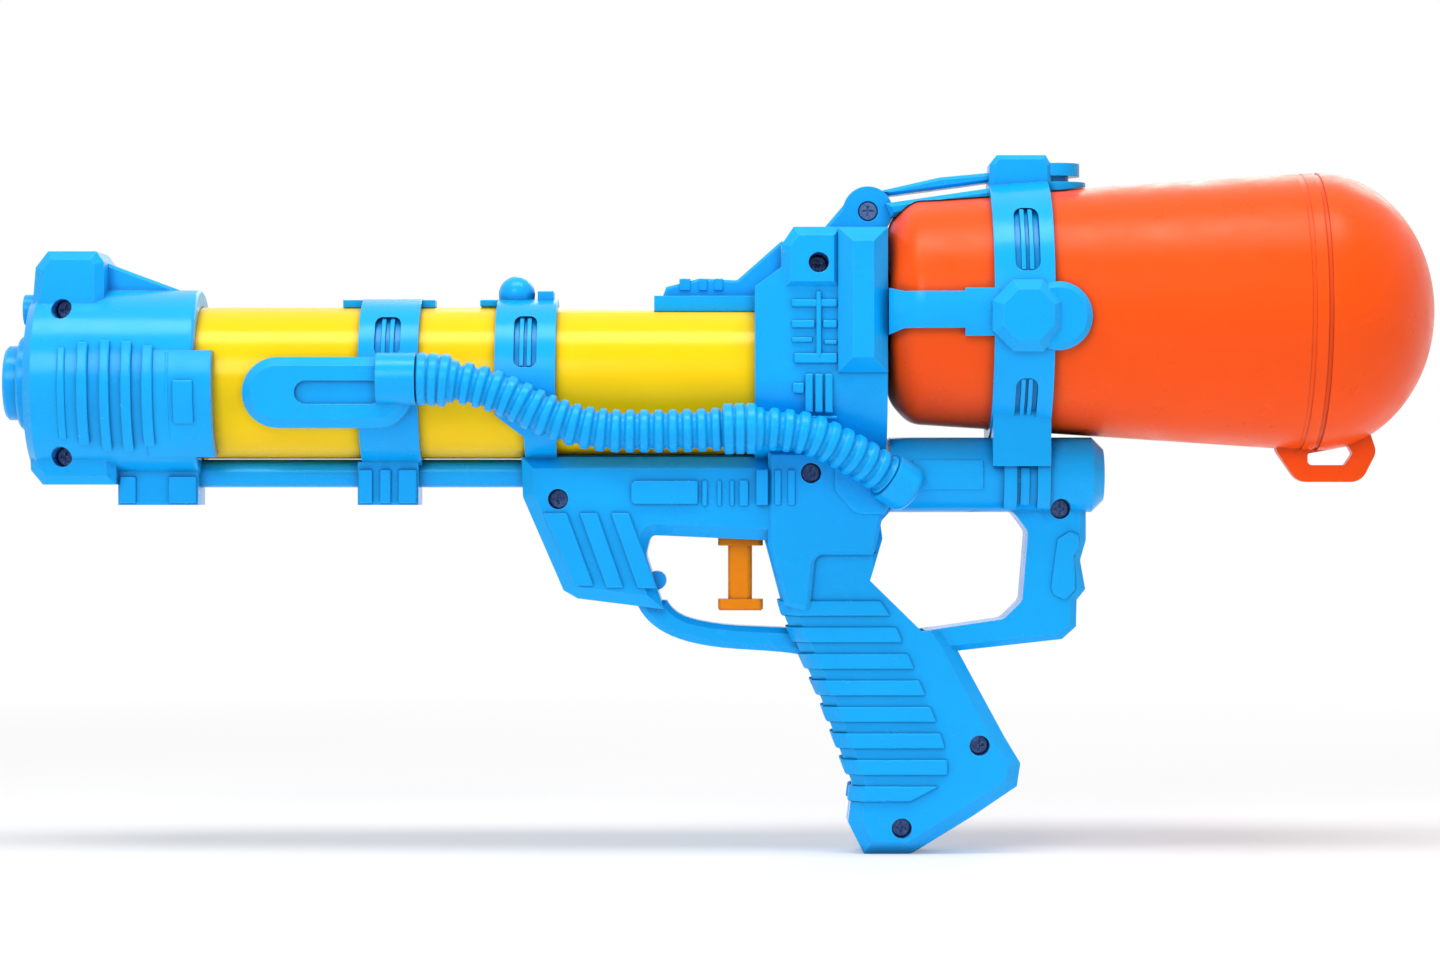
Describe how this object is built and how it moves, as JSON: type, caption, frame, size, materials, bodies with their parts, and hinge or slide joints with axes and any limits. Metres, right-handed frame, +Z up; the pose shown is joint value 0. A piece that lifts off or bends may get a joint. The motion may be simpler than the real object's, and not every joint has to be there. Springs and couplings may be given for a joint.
{
  "type": "water squirter",
  "caption": "Hand-held trigger-pump water squirter with a round barrel, moulded two-part housing, side hoses and a screw-on rear tank.",
  "frame": {"origin": "on the parting plane, half way between nozzle tip and tank tail, at the height of the grip's foot", "axes": "+X from the muzzle to the tank, +Z up from the grip, +Y to the side away from the screw heads"},
  "size_m": [0.4988, 0.099, 0.2431],
  "materials": {
    "blue_plastic": "glossy moulded polypropylene",
    "blue_hose": "glossy corrugated moulding",
    "yellow_plastic": "glossy extruded tube",
    "tank_plastic": "satin blow-moulded polyethylene",
    "trigger_plastic": "glossy moulded plastic",
    "white_plastic": "natural moulded plastic",
    "clear_tube": "translucent soft tube",
    "black_rubber": "matte rubber",
    "spring_steel": "plain steel",
    "dark_steel": "blackened screw steel"
  },
  "bodies": {
    "housing": {"left_shell": "blue_plastic", "right_shell": "blue_plastic", "barrel_tube": "yellow_plastic", "under_rail": "blue_plastic", "muzzle_left": "blue_plastic", "muzzle_right": "blue_plastic", "nozzle": "blue_plastic", "nozzle_pipe": "white_plastic", "front_band_left": "blue_plastic", "front_band_right": "blue_plastic", "hose_left": "blue_hose", "hose_right": "blue_hose", "collar_left": "blue_plastic", "collar_right": "blue_plastic", "tank_socket": "white_plastic", "dip_tube": "clear_tube", "strainer": "white_plastic", "pump_body": "white_plastic", "pump_gland": "white_plastic", "return_spring": "spring_steel", "inlet_cap": "white_plastic", "outlet_elbow": "white_plastic", "suction_hose": "clear_tube", "pressure_hose": "clear_tube", "case_screws": "dark_steel"},
    "trigger": {"trigger": "trigger_plastic", "plunger": "white_plastic", "piston_ring": "black_rubber"},
    "tank_seal": {"tank_seal": "black_rubber"},
    "tank": {"tank": "tank_plastic"},
    "inlet_ball": {"inlet_ball": "spring_steel"},
    "outlet_ball": {"outlet_ball": "spring_steel"}
  },
  "joints": [
    {"name": "trigger_pull", "type": "slide", "parent": "housing", "child": "trigger", "axis": [1, 0, 0], "range_m": [0, 0.011], "stiffness_N_per_m": 300, "springref_m": -0.01, "deforming": ["return_spring"]},
    {"name": "tank_lift", "type": "slide", "parent": "housing", "child": "tank_seal", "axis": [1, 0, 0], "range_m": [0, 0.006]},
    {"name": "tank_unscrew", "type": "hinge", "parent": "tank_seal", "child": "tank", "pos_m": [0, 0, 0.1887], "axis": [1, 0, 0], "range_deg": [0, 540]},
    {"name": "inlet_ball_lift", "type": "slide", "parent": "housing", "child": "inlet_ball", "axis": [0, 0, 1], "range_m": [0, 0.0012]},
    {"name": "outlet_ball_lift", "type": "slide", "parent": "housing", "child": "outlet_ball", "axis": [0, 0, 1], "range_m": [0, 0.0012]}
  ],
  "couplings": [
    {"joint": "tank_lift", "follows": "tank_unscrew", "m_per_rad": 0.000636}
  ]
}
